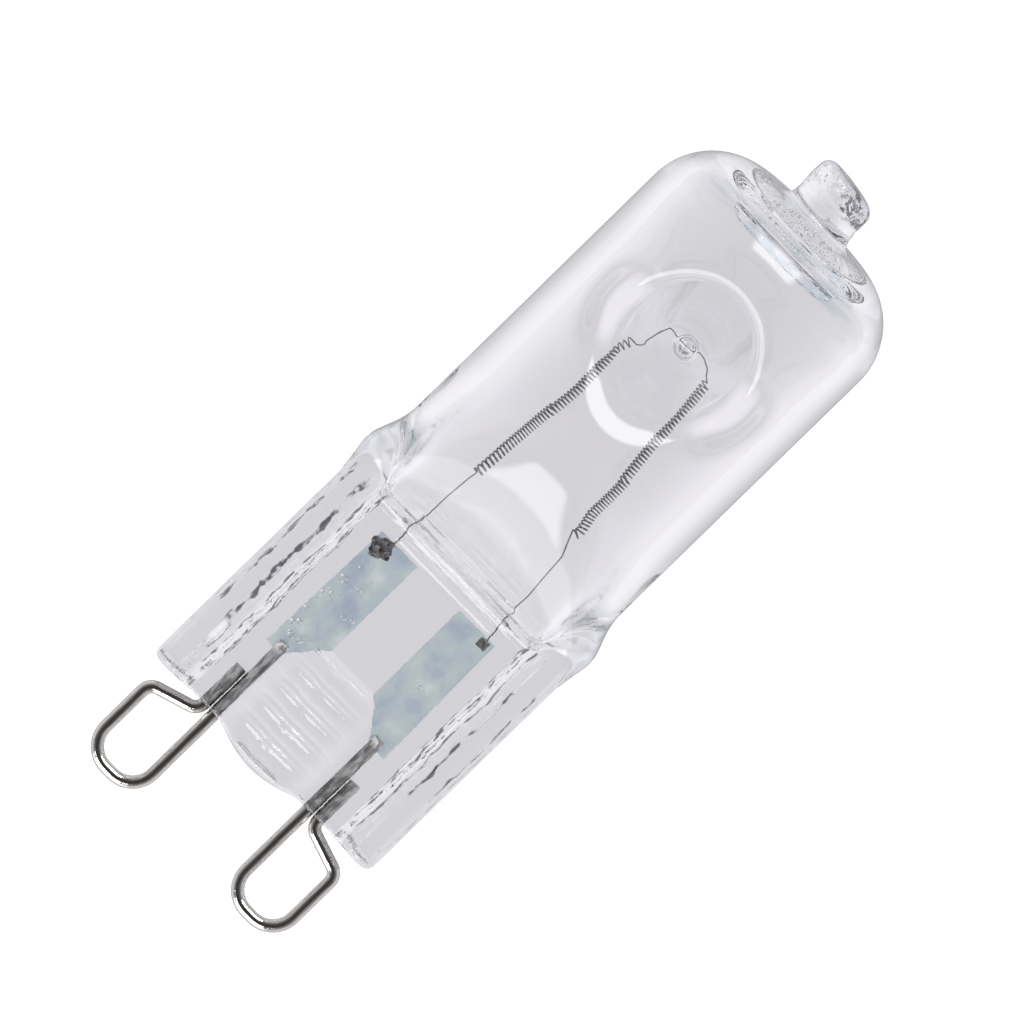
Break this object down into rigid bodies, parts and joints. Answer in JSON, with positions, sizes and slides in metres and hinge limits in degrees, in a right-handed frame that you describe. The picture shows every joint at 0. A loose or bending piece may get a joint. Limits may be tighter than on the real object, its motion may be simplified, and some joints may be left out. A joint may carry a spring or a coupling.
{
  "type": "bi-pin bulb",
  "caption": "Clear capsule lamp: domed glass tube with a sealed-off tip, inner filament coils and a flat press seal whose bent wire loops plug into a lampholder.",
  "frame": {"origin": "on the lamp's axis, at the lower end of the press seal's rails", "axes": "+Z along the axis towards the sealed-off tip, +X across the press seal from the left pin to the right pin, +Y through the press seal to its back"},
  "size_m": [0.0142, 0.013, 0.0428],
  "materials": {
    "clear_glass": "clear fused quartz",
    "nickel_wire": "bright drawn wire",
    "foil_metal": "dull mottled foil",
    "weld_metal": "dark crumpled metal",
    "tungsten": "dull drawn wire"
  },
  "bodies": {
    "root": {"glass_envelope": "clear_glass", "pin_loop_left": "nickel_wire", "pin_loop_right": "nickel_wire", "foil_left": "foil_metal", "foil_right": "foil_metal", "weld_tab_left": "weld_metal", "weld_tab_right": "weld_metal", "filament": "tungsten"}
  },
  "joints": []
}
